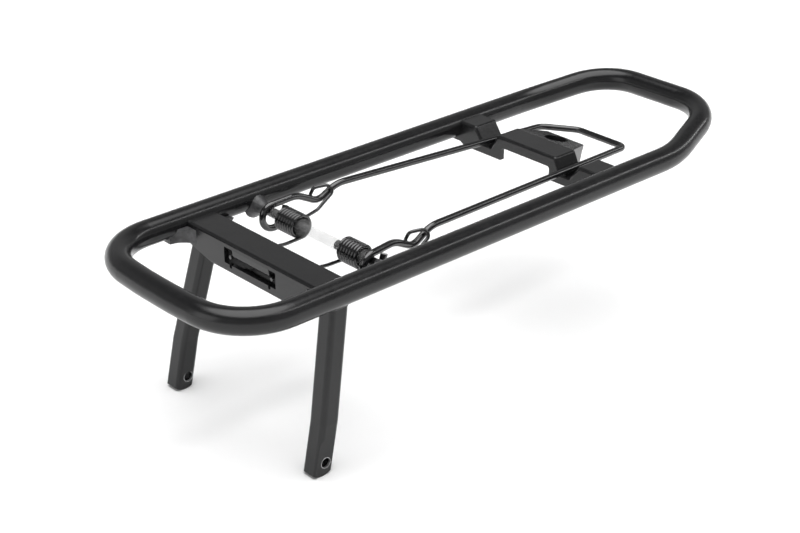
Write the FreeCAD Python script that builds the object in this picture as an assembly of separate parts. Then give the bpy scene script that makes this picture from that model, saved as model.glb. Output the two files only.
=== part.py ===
"""Bicycle rear carrier: a bent tube deck on two welded legs, with a sprung wire clamp.

Frame: +X points to the rear of the bicycle, +Y to its right side, +Z up.
The origin lies midway between the two foot bolt holes, on their common axis.
Lengths are in millimetres.
"""
import FreeCAD, Part
import math
import os
from FreeCAD import Vector

# ---- driving dimensions -------------------------------------------------
RAIL_Z = 84.3            # deck tube centre line above the foot bolts
FRONT_X = -46.9          # centre line of the front cross tube
RAIL_SPACING = 110.0     # side rail centre lines
TUBE_R = 6.5             # deck tube, outside
TUBE_WALL = 1.5
DECK_LENGTH = 350.6      # front to rear tube centre lines
FRONT_BEND_R = 30.0
FRONT_BOW = 2.4          # the front tube's middle stands this far ahead of its ends
TAPER_X = 299.0          # start of the tapered tail, behind the front tube
TAPER_ANGLE = 17.8       # plan angle of the tail, degrees
TAPER_BEND_R = 65.0
TAIL_RISE = 8.4          # the rear tube stands this much above the rails
TAIL_BEND_R = 30.0

PIVOT_X = 95.4           # clamp pivot behind the front tube
PIVOT_DROP = 3.0         # and below the rail centre line
ROD_R = 2.5
ROD_INNER_Y = 10.8       # domed inner tip of each rod
SLEEVE_R = 4.25
SLEEVE_END_Y = 35.0

WIRE_R = 1.8             # clamp wire
EYE_R = 6.4              # centre line of the wire eye
EYE_DROP = 1.9           # the loose eye hangs this far below the rod
EYE_Y = 37.3             # eye plane at the pivot
EYE_END, EYE_TIP = -20.0, 6.0         # where the eye's bend ends, and its straight tip
LEG_TOE_IN = 0.0616      # clamp leg, sideways per unit of length

SPRING_WIRE_R = 0.9
SPRING_R = 5.55          # mean radius of the coil
SPRING_PITCH = 1.94
SPRING_TURNS = 7
SPRING_SHIFT = 1.6       # both coils have slid this far to the left on the sleeve
SPRING_INNER_Y = 16.2

SHEET = 2.5              # folded sheet of the plate and the bridge
PLATE_FRONT_X, PLATE_REAR_X, PLATE_TOP_Z = 51.0, 68.2, 2.3
PLATE_LOW_Z = -14.0
FOOT_HOLE_R = 2.65       # clears an M5 bolt
GUARD_HOLE_R = 6.5

TUBE_INNER_R = TUBE_R - TUBE_WALL
HALF = RAIL_SPACING / 2
X_AXIS, Y_AXIS, Z_AXIS = Vector(1, 0, 0), Vector(0, 1, 0), Vector(0, 0, 1)


def deck(x, y, z):
    """A point given from the front tube's centre line, at rail height."""
    return Vector(x + FRONT_X, y, z + RAIL_Z)


PIVOT = deck(PIVOT_X, 0, -PIVOT_DROP)


# ---- building blocks ----------------------------------------------------
def mirror(shape):
    return shape.mirror(Vector(0, 0, 0), Y_AXIS)


def both_sides(shape):
    return Part.makeCompound([shape, mirror(shape)])


def route(points, radii):
    """Straight runs joined by tangent arcs, one radius per inner point."""
    edges = []
    start = points[0]
    for corner, following, radius in zip(points[1:-1], points[2:], radii):
        before = (corner - start).normalize()
        after = (following - corner).normalize()
        turn = before.getAngle(after)
        reach = radius * math.tan(turn / 2)
        first, last = corner - before * reach, corner + after * reach
        inward = (after - before).normalize()
        middle = corner + inward * (radius / math.cos(turn / 2) - radius)
        edges.append(Part.LineSegment(start, first).toShape())
        edges.append(Part.Arc(first, middle, last).toShape())
        start = last
    edges.append(Part.LineSegment(start, points[-1]).toShape())
    return Part.Wire(edges)


def swept(wire, radius):
    """A round bar along a smooth wire."""
    edge = wire.Edges[0]
    heading = edge.tangentAt(edge.FirstParameter)
    start = edge.valueAt(edge.FirstParameter)
    disc = Part.Wire(Part.makeCircle(radius, start, heading))
    return wire.makePipeShell([disc], True, False)


def rounded_outline(corners, plane):
    """A closed face from (u, v, radius) corners; plane turns u, v into a point."""
    count = len(corners)
    points = [plane(u, v) for u, v, radius in corners]
    edges = []
    ends = []
    for i, (u, v, radius) in enumerate(corners):
        here, before, after = points[i], points[i - 1], points[(i + 1) % count]
        if radius == 0:
            ends.append((here, here))
            continue
        back, ahead = (before - here).normalize(), (after - here).normalize()
        half_angle = back.getAngle(ahead) / 2
        reach = radius / math.tan(half_angle)
        first, last = here + back * reach, here + ahead * reach
        middle = here + (back + ahead).normalize() * (radius / math.sin(half_angle) - radius)
        edges.append(Part.Arc(first, middle, last).toShape())
        ends.append((first, last))
    for i in range(count):
        leave, arrive = ends[i][1], ends[(i + 1) % count][0]
        if leave.distanceToPoint(arrive) > 1e-6:
            edges.append(Part.LineSegment(leave, arrive).toShape())
    return Part.Face(Part.Wire(Part.__sortEdges__(edges)))


def across(u, v):
    """Outline plane YZ, given at the front tube's centre line."""
    return deck(0, u, v)


def along(u, v):
    """Outline plane XZ, given at the middle of the deck."""
    return deck(u, 0, v)


def flat(u, v):
    """Outline plane XY, given at rail height."""
    return deck(u, v, 0)


def mirrored_corners(half):
    """A full outline from the corners of its right half, listed from the middle out."""
    return half + [(-u, v, radius) for u, v, radius in reversed(half)]


# ---- deck tube ----------------------------------------------------------
def tail_corner_y():
    return HALF - (DECK_LENGTH - TAPER_X) * math.tan(math.radians(TAPER_ANGLE))


def half_loop():
    points = [
        deck(0, 0, 0),
        deck(0, 12, 0),
        deck(FRONT_BOW, HALF, 0),
        deck(TAPER_X, HALF, 0),
        deck(DECK_LENGTH, tail_corner_y(), TAIL_RISE),
        deck(DECK_LENGTH, 0, TAIL_RISE),
    ]
    return route(points, [220.0, FRONT_BEND_R, TAPER_BEND_R, TAIL_BEND_R])


def deck_loop(radius):
    side = swept(half_loop(), radius)
    return side.fuse(mirror(side)).removeSplitter()


def rail_core():
    """The right rail's outside, longer than the rail, for coping what is welded to it."""
    return Part.makeCylinder(TUBE_R, DECK_LENGTH, deck(0, HALF, 0), X_AXIS)


# ---- legs ---------------------------------------------------------------
LEG_SIZE, LEG_CORNER = 10.5, 2.5
LEG_X0, LEG_Y0 = 64.0, 47.1           # centre line where it crosses the rails' height
LEAN_X, LEAN_Y = 0.2185, -0.1087      # its slope, per unit of height
LEG_TOP, LEG_KNEE = 4.0, -64.0
FOOT_INNER_Y, FOOT_OUTER_Y = 49.8, 59.4
FOOT_HALF_X, FOOT_X = 5.25, 43.3      # half width, and centre line at the lower end
SEAT_Y, SEAT_TOP, SEAT_RIM = 58.4, -70.5, 1.6   # pressed bolt seat on the outer face
FOOT_HOLE = (46.9, -84.3)


def leg_section(z, stretch=0.0, grow=0.0):
    """The leg's outline at one height, or a larger one round it."""
    half_x, half_y = LEG_SIZE / 2 + grow + stretch, LEG_SIZE / 2 + grow
    corner = LEG_CORNER + grow
    x, y = LEG_X0 + LEAN_X * z, LEG_Y0 + LEAN_Y * z
    corners = [(x + sx * half_x, y + sy * half_y, corner)
               for sx, sy in ((1, 1), (-1, 1), (-1, -1), (1, -1))]
    return rounded_outline(corners, lambda u, v: deck(u, v, z)).OuterWire


def foot_section(z):
    """The leg's outline at its lower end."""
    front, rear = FOOT_X - FOOT_HALF_X, FOOT_X + FOOT_HALF_X
    corners = [(rear, FOOT_OUTER_Y, 1.8), (front, FOOT_OUTER_Y, 1.8),
               (front, FOOT_INNER_Y, 1.8), (rear, FOOT_INNER_Y, 1.8)]
    return rounded_outline(corners, lambda u, v: deck(u, v, z)).OuterWire


def bolt_seat():
    """What the press removes outside the seat: round at its top front corner, open to the rear."""
    hole_x, hole_z = FOOT_HOLE
    front = FOOT_X - FOOT_HALF_X + SEAT_RIM
    plan = [(hole_x + 40, SEAT_TOP, 0), (front + 4.6, SEAT_TOP, 4.0), (front - 1.4, -97.0, 0),
            (hole_x + 40, -97.0, 0)]
    seat = rounded_outline(plan, along).extrude(Vector(0, 10, 0))
    seat.translate(Vector(0, SEAT_Y, 0))
    return seat


def leg():
    upper = Part.makeLoft([leg_section(LEG_TOP), leg_section(LEG_KNEE)], True, True)
    foot = Part.makeLoft([leg_section(LEG_KNEE), foot_section(-97.0)], True, True)
    shape = upper.fuse(foot)
    hole_x, hole_z = FOOT_HOLE
    drill = Part.makeCylinder(FOOT_HOLE_R, 30, deck(hole_x, 40, hole_z), Y_AXIS)
    keep = [(hole_x + 60, 20, 0), (hole_x - 60, 20, 0), (hole_x - 22, hole_z + 5.6, 0),
            (hole_x - 3.6, hole_z - 7.6, 9.0), (hole_x + 14.0, hole_z - 1.2, 0)]
    ends = rounded_outline(keep, along).extrude(Vector(0, 80, 0))
    shape = shape.common(ends)
    under_plate = Part.makeBox(60, 40, 20, deck(30, 30, PLATE_TOP_Z - SHEET))
    return shape.cut([rail_core(), drill, under_plate, bolt_seat()]).removeSplitter()


# ---- front plate --------------------------------------------------------
WINDOW_HALF, WINDOW_TOP, WINDOW_LOW = 19.4, -0.8, -9.2
NOTCH_Y, NOTCH_LOW = 14.6, -10.9
TAB_HALF = 13.8


def front_plate():
    front, rear, top = PLATE_FRONT_X, PLATE_REAR_X, PLATE_TOP_Z
    low = PLATE_LOW_Z
    angle = [(front, top, 1.6), (rear, top, 0.6), (rear, top - SHEET, 0.4),
             (front + SHEET, top - SHEET, 0.5), (front + SHEET, low + SHEET, 0.5),
             (rear - 1.5, low + SHEET, 0.6), (rear - 1.5, low, 0.6), (front, low, 1.6)]
    body = rounded_outline(angle, along).extrude(Vector(0, 2 * HALF, 0))
    body.translate(Vector(0, -HALF, 0))
    outline = mirrored_corners([(27.0, low, 6.0), (45.5, -9.6, 6.0), (49.5, -8.2, 0),
                                (HALF, -8.2, 0), (HALF, 8.0, 0)])
    reach = rounded_outline(outline, across).extrude(Vector(100, 0, 0))
    window = [(WINDOW_HALF, WINDOW_TOP, 0.6), (WINDOW_HALF, WINDOW_LOW, 0.6),
              (-WINDOW_HALF, WINDOW_LOW, 0.6), (-WINDOW_HALF, WINDOW_TOP, 0.6)]
    cuts = [rounded_outline(window, across)]
    for side in (-1, 1):
        y = side * NOTCH_Y
        notch = [(y - 0.9, WINDOW_LOW + 1, 0), (y - 0.9, NOTCH_LOW, 0.8),
                 (y + 0.9, NOTCH_LOW, 0.8), (y + 0.9, WINDOW_LOW + 1, 0)]
        cuts.append(rounded_outline(notch, across))
    holes = []
    for face in cuts:
        hole = face.extrude(Vector(SHEET + 2, 0, 0))
        hole.translate(Vector(front - 1, 0, 0))
        holes.append(hole)
    tab_side = [(front + 0.2, WINDOW_TOP + 1.2, 0), (front + SHEET, WINDOW_TOP + 1.2, 0),
                (front + SHEET + 1.2, -3.2, 3.0), (front + 9.6, -8.6, 0.6),
                (front + 8.6, -10.2, 0.6), (front + 0.9, -5.0, 3.0)]
    tab = rounded_outline(tab_side, along).extrude(Vector(0, 2 * TAB_HALF, 0))
    tab.translate(Vector(0, -TAB_HALF, 0))
    rails = rail_core()
    shape = body.common(reach).cut(holes).fuse(tab)
    stem = leg()
    return shape.cut([rails, mirror(rails), stem, mirror(stem)]).removeSplitter()


# ---- rear bridge --------------------------------------------------------
BRIDGE_FRONT_X, BRIDGE_REAR_X = 239.8, 255.5
BRIDGE_TOP_Z = 4.2
HAT_HALF, HAT_FOOT, VALLEY_IN, VALLEY_OUT, BLOCK_IN = 21.4, 24.7, 25.5, 31.9, 37.9
VALLEY_Z = -4.1
FLANGE_LOW = -9.5
WALL_Y = 17.7            # inner faces of the two walls below the raised middle
TAB_REAR_X, TAB_REAR_HALF, TAB_SLOPE = 272.5, 13.6, 13.0
SKIRT = 8.0
COLLAR = 8.5             # depth of the drilled boss, sheet included


def bridge_top(drop):
    """Upper line of the folded strip, from the middle out, lowered by drop."""
    lean = drop * 0.45
    return [(HAT_HALF - lean, BRIDGE_TOP_Z - drop, 1.6), (VALLEY_IN - lean, VALLEY_Z - drop, 1.2),
            (VALLEY_OUT + lean, VALLEY_Z - drop, 1.2), (BLOCK_IN + lean, BRIDGE_TOP_Z - drop, 1.6)]


def bridge_channel():
    outer_half = bridge_top(0) + [(HALF, BRIDGE_TOP_Z, 0), (HALF, -7.6, 0), (49.5, -7.6, 0),
                                  (46.0, FLANGE_LOW, 4.0), (WALL_Y, FLANGE_LOW, 0.6),
                                  (WALL_Y, -2.0, 1.6)]
    right = [(0, BRIDGE_TOP_Z, 0)] + outer_half + [(0, -2.0, 0)]
    width = BRIDGE_REAR_X - BRIDGE_FRONT_X
    outer = rounded_outline(right, across).extrude(Vector(width, 0, 0))
    under = ([(-1, BRIDGE_TOP_Z - SHEET, 0)] + bridge_top(SHEET)
             + [(HALF, BRIDGE_TOP_Z - SHEET, 0), (HALF, -20, 0), (-1, -20, 0)])
    inner = rounded_outline(under, across).extrude(Vector(width - 2 * SHEET, 0, 0))
    inner.translate(Vector(SHEET, 0, 0))
    wall = Part.makeBox(width, 2.6, 30, Vector(0, WALL_Y, RAIL_Z - 20))
    channel = outer.cut(inner.cut(wall))
    channel.translate(Vector(BRIDGE_FRONT_X, 0, 0))
    return channel


def soften_front(shape, x, radius):
    """Round the folded edge that runs along the strip's top at one x."""
    edges = []
    for edge in shape.Edges:
        box = edge.BoundBox
        flat_x = abs(box.XMin - x) < 1e-3 and abs(box.XMax - x) < 1e-3
        if flat_x and on_top_line(box.Center):
            edges.append(edge)
    return shape.makeFillet(radius, edges)


def on_top_line(point):
    """Whether a point lies on the strip's upper line, arcs included."""
    y, z = abs(point.y), point.z - RAIL_Z
    line = [(0, BRIDGE_TOP_Z)] + [(u, v) for u, v, r in bridge_top(0)] + [(HALF, BRIDGE_TOP_Z)]
    for (y0, z0), (y1, z1) in zip(line, line[1:]):
        if y0 - 0.1 <= y <= y1 + 0.1:
            return abs(z - (z0 + (z1 - z0) * (y - y0) / (y1 - y0))) < 0.9
    return False


def bridge_tab():
    """The rear tongue: it narrows, falls to the rear and carries the mudguard hole."""
    length = (TAB_REAR_X - BRIDGE_REAR_X) / math.cos(math.radians(TAB_SLOPE))
    x0 = BRIDGE_REAR_X
    taper = (HAT_HALF - 0.6 - TAB_REAR_HALF) / length
    root = HAT_HALF - 0.6
    plan = [(x0, root, 0), (x0 + length, TAB_REAR_HALF, 1.5),
            (x0 + length, -TAB_REAR_HALF, 1.5), (x0, -root, 0)]
    sheet = rounded_outline(plan, flat).extrude(Vector(0, 0, SHEET))
    skirts = []
    for side in (-1, 1):
        edge = [(x0, side * root, 0), (x0 + length - 1.5, side * (root - taper * (length - 1.5)), 0),
                (x0 + length - 1.5, side * (root - SHEET - taper * (length - 1.5)), 0),
                (x0, side * (root - SHEET), 0)]
        skirt = rounded_outline(edge, flat).extrude(Vector(0, 0, -SKIRT))
        skirts.append(skirt)
    hole = Part.makeCylinder(GUARD_HOLE_R, 30, deck(x0 + 9.2, 0, -20), Z_AXIS)
    collar = Part.makeCylinder(GUARD_HOLE_R + 2.0, COLLAR, deck(x0 + 9.2, 0, SHEET - COLLAR), Z_AXIS)
    tab = sheet.fuse(skirts + [collar]).cut(hole)
    tab.translate(Vector(0, 0, BRIDGE_TOP_Z - SHEET))
    tab.rotate(deck(x0, 0, BRIDGE_TOP_Z), Y_AXIS, TAB_SLOPE)
    return tab


def rear_bridge():
    channel = bridge_channel()
    channel = channel.fuse(mirror(channel)).removeSplitter()
    channel = soften_front(channel, BRIDGE_FRONT_X + FRONT_X, 1.6)
    rails = rail_core()
    behind = Part.makeBox(40, 60, 40, deck(BRIDGE_REAR_X - 1.2, -30, -20))
    shape = channel.fuse(bridge_tab().common(behind))
    return shape.cut([rails, mirror(rails)]).removeSplitter()


# ---- pivot --------------------------------------------------------------
def pivot_rod():
    tip = ROD_INNER_Y
    length = HALF - TUBE_R - tip
    rod = Part.makeCylinder(ROD_R, length + 2.0 - ROD_R * 0.6, PIVOT + Y_AXIS * (tip + ROD_R * 0.6), Y_AXIS)
    dome = Part.makeSphere(ROD_R, PIVOT + Y_AXIS * (tip + ROD_R))
    return rod.fuse(dome).cut(rail_core()).removeSplitter()


def pivot_sleeve():
    length = 2 * SLEEVE_END_Y
    start = PIVOT - Y_AXIS * SLEEVE_END_Y
    tube = Part.makeCylinder(SLEEVE_R, length, start, Y_AXIS)
    return tube.cut(Part.makeCylinder(ROD_R + 0.02, length, start, Y_AXIS))


# ---- sprung clamp -------------------------------------------------------
def leg_plane(x, z):
    """A point of the right clamp leg, whose plane toes in towards the rear."""
    return deck(x, EYE_Y - (x - PIVOT_X) * LEG_TOE_IN, z)


def eye_point(degrees, onward=0.0):
    """A point on the eye, or one further on along its tangent there."""
    turn = math.radians(degrees)
    x = PIVOT_X + EYE_R * math.cos(turn) - onward * math.sin(turn)
    z = -PIVOT_DROP - EYE_DROP + EYE_R * math.sin(turn) + onward * math.cos(turn)
    return leg_plane(x, z)


LEG_PROFILE = [(110.3, 2.35, 14.0), (123.6, -4.5, 8.0), (135.5, 2.1, 18.0)]
TIP_X, TIP_Z = 293.0, -3.1
CHAMFER_X, CHAMFER_Y = 280.5, 8.6     # the right rear corner is cut off


def clamp_half(corner_points, radii):
    """One leg: from its eye, over the crest and dip, to the middle of the rear end."""
    start = eye_point(93)
    points = [start] + [leg_plane(x, z) for x, z, radius in LEG_PROFILE] + corner_points
    run = route(points, [radius for x, z, radius in LEG_PROFILE] + radii)
    end = Part.LineSegment(eye_point(EYE_END, EYE_TIP), eye_point(EYE_END)).toShape()
    eye = Part.Arc(eye_point(EYE_END), eye_point(-130), start).toShape()
    return Part.Wire([end, eye] + run.Edges)


def clamp_wire():
    right_end = [leg_plane(CHAMFER_X, TIP_Z + 0.35), deck(TIP_X, CHAMFER_Y, TIP_Z),
                 deck(TIP_X, 0, TIP_Z)]
    left_end = [leg_plane(TIP_X, TIP_Z), deck(TIP_X, 0, TIP_Z)]
    right = swept(clamp_half(right_end, [7.0, 7.0]), WIRE_R)
    left = mirror(swept(clamp_half(left_end, [4.0]), WIRE_R))
    return right.fuse(left).removeSplitter()


COIL_SLOPE = SPRING_PITCH / (2 * math.pi * SPRING_R)


HOOK_Y = 35.7            # the clamp leg's line where the hook goes round it


def spring_coil(inner_y):
    """Left-handed coil wound about the pivot; both its ends are at its lowest line."""
    helix = Part.makeHelix(SPRING_PITCH, SPRING_PITCH * SPRING_TURNS, SPRING_R, 0, True)
    disc = Part.Wire(Part.makeCircle(SPRING_WIRE_R, Vector(SPRING_R, 0, 0), Vector(0, -1, COIL_SLOPE)))
    coil = Part.Wire(helix.Edges).makePipeShell([disc], True, True)
    turn = FreeCAD.Matrix(0, -1, 0, PIVOT.x, 0, 0, 1, inner_y, -1, 0, 0, PIVOT.z, 0, 0, 0, 1)
    coil.Placement = FreeCAD.Placement(turn)
    return coil


def spring_end(end_y, first_x, others, radii):
    """A wire that leaves the coil's lowest line straight on, then follows other points."""
    low = -PIVOT_DROP - SPRING_R
    run = first_x - PIVOT_X
    points = [deck(PIVOT_X, end_y, low), deck(first_x, end_y + run * COIL_SLOPE, low)]
    wire = route(points + [deck(*point) for point in others], radii)
    return swept(wire, SPRING_WIRE_R)


def spring(slide, lay):
    """Coil with its tail beside the plate's tab and its hooked arm round the clamp leg.

    lay is the side on which the hook comes up past the leg: -1 inside, +1 outside.
    """
    inner_y = SPRING_INNER_Y + slide
    outer_y = inner_y + SPRING_PITCH * SPRING_TURNS
    tail = spring_end(inner_y, 84.0, [(61.0, 15.6, -5.9), (51.6, 15.6, -5.6)], [24.0, 10.0])
    hook = [(120.4, 3.4, -7.4), (131.2, 3.8, 0.2), (129.0, 1.4, 3.4),
            (122.4, -1.8, 2.6), (121.4, -3.4, -1.6), (122.8, -3.4, -4.2)]
    points = [(x, HOOK_Y + lay * aside, z) for x, aside, z in hook]
    arm = spring_end(outer_y, 99.5, points, [5.0, 4.0, 2.4, 2.8, 2.4, 1.6])
    return spring_coil(inner_y).fuse([tail, arm]).removeSplitter()


# ---- welds --------------------------------------------------------------
def leg_weld(stem, plate):
    """A bead between the leg and the rail, run out along the rail in front and behind."""
    sizes = ((-2.6, 6.6, 1.6), (-5.2, 4.4, 1.2), (-7.4, 1.2, 0.7), (-9.6, 0.2, 0.15))
    sections = [leg_section(z, stretch, grow) for z, stretch, grow in sizes]
    beside_rail = Part.makeBox(80, 30, 30, deck(20, 45, -25))
    bead = Part.makeLoft(sections, True, False).common(beside_rail)
    return bead.cut([rail_core(), stem, plate])


def rod_weld(rod):
    """A hollow cone of weld around the rod's root."""
    inner, outer = 41.0, HALF - TUBE_R + 2.5
    centre = PIVOT
    profile = [centre + Vector(0, inner, 0), centre + Vector(0, inner, ROD_R + 0.3),
               centre + Vector(0, outer, 7.2), centre + Vector(0, outer, 0)]
    bulge = centre + Vector(0, inner + (outer - inner) * 0.60, 4.5)
    edges = [Part.LineSegment(profile[0], profile[1]).toShape(),
             Part.Arc(profile[1], bulge, profile[2]).toShape(),
             Part.LineSegment(profile[2], profile[3]).toShape(),
             Part.LineSegment(profile[3], profile[0]).toShape()]
    cone = Part.Face(Part.Wire(edges)).revolve(centre, Y_AXIS, 360)
    return cone.cut([rail_core(), rod])


def corner_weld(front_x, top_z, low_z, reach, joined):
    """A hollow fillet between a sheet's front face and the rail."""
    y_in = HALF - TUBE_R - reach
    a = deck(front_x + 0.5, y_in, low_z)
    b = deck(front_x + 0.5, HALF, low_z)
    c = deck(front_x - reach - 1.0, HALF, low_z)
    d = deck(front_x - reach - 1.0, HALF - TUBE_R + 1.2, low_z)
    middle = deck(front_x - reach * 0.30, HALF - TUBE_R - reach * 0.28, low_z)
    edges = [Part.LineSegment(a, b).toShape(), Part.LineSegment(b, c).toShape(),
             Part.LineSegment(c, d).toShape(), Part.Arc(d, middle, a).toShape()]
    block = Part.Face(Part.Wire(edges)).extrude(Vector(0, 0, top_z - low_z))
    return block.cut([rail_core(), joined])


def seam_weld(first_x, last_x, z, radius, joined):
    """A round bead along the rail's inner side, at one height."""
    y = HALF - math.sqrt(TUBE_R ** 2 - z ** 2)
    bead = Part.makeCylinder(radius, last_x - first_x, deck(first_x, y, z), X_AXIS)
    return bead.cut([rail_core(), joined])


# ---- the parts ----------------------------------------------------------
def build():
    leg_right = leg()
    rod_right = pivot_rod()
    plate = front_plate()
    bridge = rear_bridge()
    spring_right = spring(-SPRING_SHIFT, -1)
    leg_bead = leg_weld(leg_right, plate)
    plate_weld = corner_weld(PLATE_FRONT_X, -0.2, -7.6, 9.0, plate).cut([leg_right, leg_bead])
    bridge_weld = seam_weld(BRIDGE_FRONT_X + 1.5, BRIDGE_REAR_X - 1.5, -4.2, 1.5, bridge)
    return {
        "deck_loop": deck_loop(TUBE_R).cut(deck_loop(TUBE_INNER_R)),
        "leg_right": leg_right,
        "leg_left": mirror(leg_right),
        "front_plate": plate,
        "rear_bridge": bridge,
        "pivot_rod_right": rod_right,
        "pivot_rod_left": mirror(rod_right),
        "pivot_sleeve": pivot_sleeve(),
        "clamp_wire": clamp_wire(),
        "spring_right": spring_right,
        "spring_left": mirror(spring(SPRING_SHIFT, 1)),
        "leg_welds": both_sides(leg_bead),
        "rod_welds": both_sides(rod_weld(rod_right)),
        "plate_welds": both_sides(plate_weld),
        "bridge_welds": both_sides(bridge_weld),
    }


def main():
    os.makedirs("parts", exist_ok=True)
    for name, shape in build().items():
        solids = shape.Solids
        volume = sum(solid.Volume for solid in solids) / 1000
        valid = all(solid.isValid() for solid in solids)
        print(f"{name:18s} {len(solids)} solids, {volume:7.2f} cm3, valid {valid}")
        shape.exportStep(f"parts/{name}.step")


main()
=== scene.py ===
"""Looks for the bicycle rear rack: powder-coated tube and sheet, glossy wires, a clear sleeve."""
import bpy
import bmesh
import math
from mathutils import Matrix, Vector


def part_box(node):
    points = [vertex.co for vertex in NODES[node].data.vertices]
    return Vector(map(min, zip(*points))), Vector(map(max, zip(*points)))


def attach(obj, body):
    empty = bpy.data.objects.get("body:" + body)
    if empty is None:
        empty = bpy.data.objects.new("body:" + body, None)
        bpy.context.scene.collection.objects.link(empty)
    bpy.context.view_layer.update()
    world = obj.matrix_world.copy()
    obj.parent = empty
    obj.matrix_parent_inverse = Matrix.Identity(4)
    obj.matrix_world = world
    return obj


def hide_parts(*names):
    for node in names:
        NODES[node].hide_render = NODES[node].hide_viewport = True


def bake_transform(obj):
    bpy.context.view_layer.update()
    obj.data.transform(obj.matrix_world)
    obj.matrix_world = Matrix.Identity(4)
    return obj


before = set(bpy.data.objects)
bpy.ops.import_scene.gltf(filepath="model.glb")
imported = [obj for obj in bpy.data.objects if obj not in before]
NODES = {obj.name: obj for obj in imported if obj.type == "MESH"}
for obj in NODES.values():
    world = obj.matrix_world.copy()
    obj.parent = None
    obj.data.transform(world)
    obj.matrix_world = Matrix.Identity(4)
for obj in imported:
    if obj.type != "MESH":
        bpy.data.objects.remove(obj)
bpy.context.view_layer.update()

MM = 0.001
SEAT_Y, INNER_FACE_Y = 0.0584, 0.0494      # the feet's faces at the bolt holes


# ---- materials ----------------------------------------------------------
class Maker:
    """A node material with a Principled surface."""

    def __init__(self, name):
        self.material = bpy.data.materials.new(name)
        self.material.use_nodes = True
        self.tree = self.material.node_tree
        self.surface = self.tree.nodes["Principled BSDF"]
        self.place = self.add("ShaderNodeTexCoord").outputs["Object"]

    def add(self, kind, **values):
        node = self.tree.nodes.new(kind)
        for key, value in values.items():
            setattr(node, key, value)
        return node

    def link(self, out, into):
        self.tree.links.new(out, into)

    def noise(self, scale, detail, stretch=(1, 1, 1)):
        node = self.add("ShaderNodeTexNoise")
        node.inputs["Scale"].default_value = scale
        node.inputs["Detail"].default_value = detail
        node.inputs["Roughness"].default_value = 0.5
        place = self.place
        if stretch != (1, 1, 1):
            mapping = self.add("ShaderNodeMapping")
            mapping.inputs["Scale"].default_value = stretch
            self.link(place, mapping.inputs["Vector"])
            place = mapping.outputs["Vector"]
        self.link(place, node.inputs["Vector"])
        return node.outputs["Fac"]

    def between(self, fac, low, high, start=0.35, stop=0.65):
        node = self.add("ShaderNodeMapRange")
        node.inputs["From Min"].default_value = start
        node.inputs["From Max"].default_value = stop
        node.inputs["To Min"].default_value = low
        node.inputs["To Max"].default_value = high
        self.link(fac, node.inputs["Value"])
        return node.outputs["Result"]

    def tint(self, fac, first, second, start=0.35, stop=0.65):
        node = self.add("ShaderNodeValToRGB")
        node.color_ramp.elements[0].position = start
        node.color_ramp.elements[0].color = (*first, 1)
        node.color_ramp.elements[1].position = stop
        node.color_ramp.elements[1].color = (*second, 1)
        self.link(fac, node.inputs["Fac"])
        self.link(node.outputs["Color"], self.surface.inputs["Base Color"])

    def bump(self, fac, distance, strength=1.0, after=None):
        node = self.add("ShaderNodeBump")
        node.inputs["Distance"].default_value = distance
        node.inputs["Strength"].default_value = strength
        self.link(fac, node.inputs["Height"])
        if after is not None:
            self.link(after, node.inputs["Normal"])
        return node.outputs["Normal"]

    def finish(self, normal=None, **sockets):
        if normal is not None:
            self.link(normal, self.surface.inputs["Normal"])
        for key, value in sockets.items():
            self.surface.inputs[key.replace("_", " ")].default_value = value
        return self.material


def powder_coat():
    m = Maker("satin_black_coat")
    m.tint(m.noise(45, 2), (0.007, 0.007, 0.0075), (0.010, 0.010, 0.0105))
    m.link(m.between(m.noise(300, 3), 0.20, 0.26), m.surface.inputs["Roughness"])
    peel = m.bump(m.noise(900, 2), 0.00002, 0.2)
    grain = m.bump(m.noise(4200, 2), 0.00001, 0.1, peel)
    return m.finish(grain, Specular_IOR_Level=0.40)


def weld_coat():
    m = Maker("coated_weld")
    m.tint(m.noise(260, 4), (0.018, 0.018, 0.019), (0.060, 0.060, 0.062))
    m.link(m.between(m.noise(700, 3), 0.30, 0.5), m.surface.inputs["Roughness"])
    ripple = m.bump(m.noise(420, 2, (1, 1, 1.6)), 0.0006, 0.6)
    grain = m.bump(m.noise(2600, 2), 0.00006, 0.5, ripple)
    return m.finish(grain, Specular_IOR_Level=0.5)


def wire_coat():
    m = Maker("gloss_black_wire")
    m.tint(m.noise(180, 2), (0.004, 0.004, 0.0045), (0.008, 0.008, 0.0085))
    m.link(m.between(m.noise(500, 3), 0.10, 0.16), m.surface.inputs["Roughness"])
    grain = m.bump(m.noise(1400, 2), 0.00001, 0.2)
    return m.finish(grain, Specular_IOR_Level=0.9)


def sleeve_plastic():
    """Milky clear plastic, thin enough for the rods' dark tips to show through it."""
    m = Maker("translucent_sleeve")
    m.tint(m.noise(60, 2), (0.38, 0.38, 0.38), (0.44, 0.44, 0.44))
    m.link(m.between(m.noise(250, 2), 0.16, 0.26), m.surface.inputs["Roughness"])
    return m.finish(Alpha=0.14, Specular_IOR_Level=0.3)


def bare_metal():
    m = Maker("bare_metal")
    m.tint(m.noise(900, 3), (0.42, 0.42, 0.42), (0.62, 0.62, 0.63))
    m.link(m.between(m.noise(1500, 3), 0.25, 0.5), m.surface.inputs["Roughness"])
    return m.finish(Metallic=1.0)


COAT = powder_coat()
BARE = bare_metal()
WELD = weld_coat()
WIRE = wire_coat()
SLEEVE = sleeve_plastic()
FINISHES = {
    "deck_loop": COAT, "front_plate": COAT, "rear_bridge": COAT, "leg_left": COAT,
    "leg_right": COAT, "pivot_rod_left": COAT, "pivot_rod_right": COAT,
    "leg_welds": WELD, "rod_welds": WELD, "plate_welds": WELD, "bridge_welds": WELD,
    "pivot_sleeve": SLEEVE, "clamp_wire": WIRE, "spring_left": WIRE, "spring_right": WIRE,
}
for name, material in FINISHES.items():
    mesh = NODES[name].data
    mesh.materials.clear()
    mesh.materials.append(material)


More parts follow.
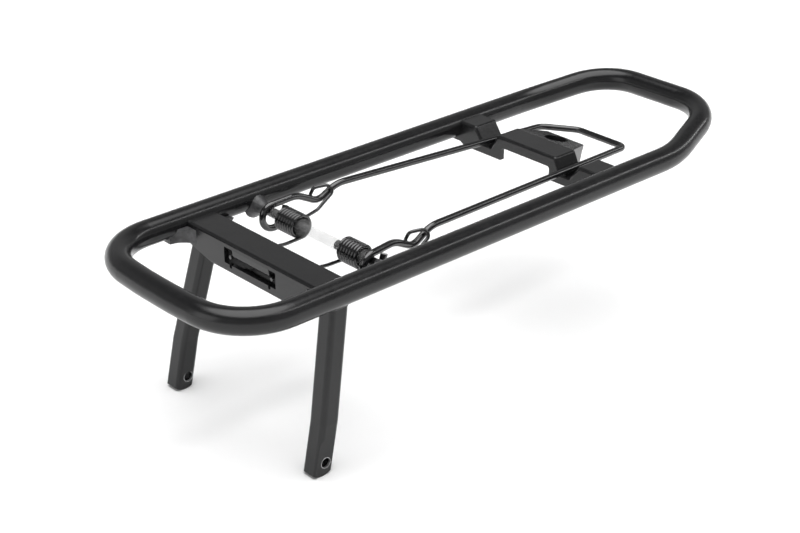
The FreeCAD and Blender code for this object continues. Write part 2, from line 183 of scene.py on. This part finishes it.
# ---- springs ------------------------------------------------------------
def wound_spring(side):
    """The CAD spring, tail, coil and hook, copied as one mesh, with the CAD node hidden."""
    node = NODES["spring_" + side]
    mesh = node.data.copy()
    mesh.transform(node.matrix_world)
    spring = bpy.data.objects.new("wound_spring_" + side, mesh)
    bpy.context.scene.collection.objects.link(spring)
    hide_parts("spring_" + side)
    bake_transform(spring)


wound_spring("right")
wound_spring("left")


# ---- bolt holes ---------------------------------------------------------
def bare_rim(name, y, outward):
    """A thin ring of bare metal where the drill broke the coat round a bolt hole."""
    mesh = bpy.data.meshes.new(name)
    bm = bmesh.new()
    steps = 48
    # radius, and height above the foot's face, in millimetres, round the ring's section
    rows = [(2.62, -1.2), (2.62, 0.02), (2.74, 0.06), (2.86, 0.03), (2.90, -0.08), (2.68, -1.2)]
    rings = []
    for radius, rise in rows:
        ring = []
        for step in range(steps):
            angle = 2 * math.pi * step / steps
            place = Vector((radius * math.cos(angle), 0, radius * math.sin(angle))) * MM
            place.y = y + outward * rise * MM
            ring.append(bm.verts.new(place))
        rings.append(ring)
    for first, second in zip(rings, rings[1:] + rings[:1]):
        for step in range(steps):
            after = (step + 1) % steps
            bm.faces.new((first[step], first[after], second[after], second[step]))
    bmesh.ops.recalc_face_normals(bm, faces=bm.faces)
    bm.to_mesh(mesh)
    bm.free()
    rim = bpy.data.objects.new(name, mesh)
    bpy.context.scene.collection.objects.link(rim)
    rim.data.materials.append(BARE)
    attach(rim, "frame")


bare_rim("bolt_rim_left_out", -SEAT_Y, -1)
bare_rim("bolt_rim_right_out", SEAT_Y, 1)
bare_rim("bolt_rim_left_in", -INNER_FACE_Y, 1)
bare_rim("bolt_rim_right_in", INNER_FACE_Y, -1)


# ---- stage --------------------------------------------------------------
def make_floor():
    floor_z = min(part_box("leg_left")[0].z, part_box("leg_right")[0].z)
    mesh = bpy.data.meshes.new("floor")
    half = 30.0
    corners = [(-half, -half, floor_z), (half, -half, floor_z), (half, half, floor_z),
               (-half, half, floor_z)]
    mesh.from_pydata(corners, [], [(0, 1, 2, 3)])
    floor = bpy.data.objects.new("floor", mesh)
    bpy.context.scene.collection.objects.link(floor)
    m = Maker("pale_floor")
    m.tint(m.noise(3, 2), (0.96, 0.96, 0.96), (0.98, 0.98, 0.98))
    m.link(m.between(m.noise(8, 2), 0.85, 0.95), m.surface.inputs["Roughness"])
    floor.data.materials.append(m.finish(Specular_IOR_Level=0.0))


def make_light(name, where, target, length, width, power):
    """A rectangular light that faces the target."""
    data = bpy.data.lights.new(name, "AREA")
    data.shape = "RECTANGLE"
    data.size = length
    data.size_y = width
    data.energy = power
    light = bpy.data.objects.new(name, data)
    light.location = where
    aim = Vector(target) - Vector(where)
    light.rotation_euler = aim.to_track_quat("-Z", "Y").to_euler()
    bpy.context.scene.collection.objects.link(light)
    return light


def make_strip(name, where, target, length, width, power):
    """A long narrow light lying along X and facing the target."""
    light = make_light(name, where, target, length, width, power)
    away = (where - target).normalized()
    along = (Vector((1, 0, 0)) - away * away.x).normalized()
    turn = Matrix((along, away.cross(along), away)).transposed()
    light.rotation_euler = turn.to_euler()


def make_world():
    """White low down, a dim band above that, and a white ceiling."""
    world = bpy.data.worlds.new("studio")
    world.use_nodes = True
    tree = world.node_tree
    background = tree.nodes["Background"]
    place = tree.nodes.new("ShaderNodeTexCoord")
    split = tree.nodes.new("ShaderNodeSeparateXYZ")
    ramp = tree.nodes.new("ShaderNodeValToRGB")
    tree.links.new(place.outputs["Generated"], split.inputs["Vector"])
    tree.links.new(split.outputs["Z"], ramp.inputs["Fac"])
    tree.links.new(ramp.outputs["Color"], background.inputs["Color"])
    # sine of the elevation, and brightness
    stops = [(0.0, 0.28), (0.03, 0.25), (0.20, 0.06), (0.36, 0.10), (0.50, 0.11), (0.66, 0.035),
             (0.82, 0.02), (0.88, 1.0)]
    elements = ramp.color_ramp.elements
    while len(elements) < len(stops):
        elements.new(0.5)
    for element, (position, value) in zip(elements, stops):
        element.position = position
        element.color = (value, value, value, 1)
    background.inputs["Strength"].default_value = 3.9
    bpy.context.scene.world = world


def make_lights():
    """A strip that draws a line along the rails, and a box that throws the feet's shadows."""
    make_strip("rim_strip", Vector((1.07, -0.80, 1.10)), Vector((0.1, 0, 0.08)), 2.2, 0.10, 5.5)
    make_light("side_box", (-1.7, 0.35, 0.75), (0.0, 0, 0.0), 1.1, 1.1, 5)


def make_camera():
    """The photo's viewpoint: front left of the rack, a little above it."""
    place = Vector((-0.42302, -0.56152, 0.43309))
    heading, dip, roll = math.radians(43.037), math.radians(26.675), math.radians(0.378)
    data = bpy.data.cameras.new("camera")
    data.sensor_width = 36.0
    data.lens = 74.98
    data.clip_start = 0.01
    camera = bpy.data.objects.new("camera", data)
    forward = Vector((math.sin(heading) * math.cos(dip), math.cos(heading) * math.cos(dip),
                      -math.sin(dip)))
    right = Vector((math.cos(heading), -math.sin(heading), 0))
    up = right.cross(forward)
    leaned_right = right * math.cos(roll) + up * math.sin(roll)
    leaned_up = up * math.cos(roll) - right * math.sin(roll)
    turn = Matrix((leaned_right, leaned_up, -forward)).transposed()
    camera.matrix_world = Matrix.Translation(place) @ turn.to_4x4()
    bpy.context.scene.collection.objects.link(camera)
    bpy.context.scene.camera = camera


make_floor()
make_world()
make_lights()
make_camera()
bpy.context.scene.view_settings.view_transform = "Standard"

bpy.context.view_layer.update()
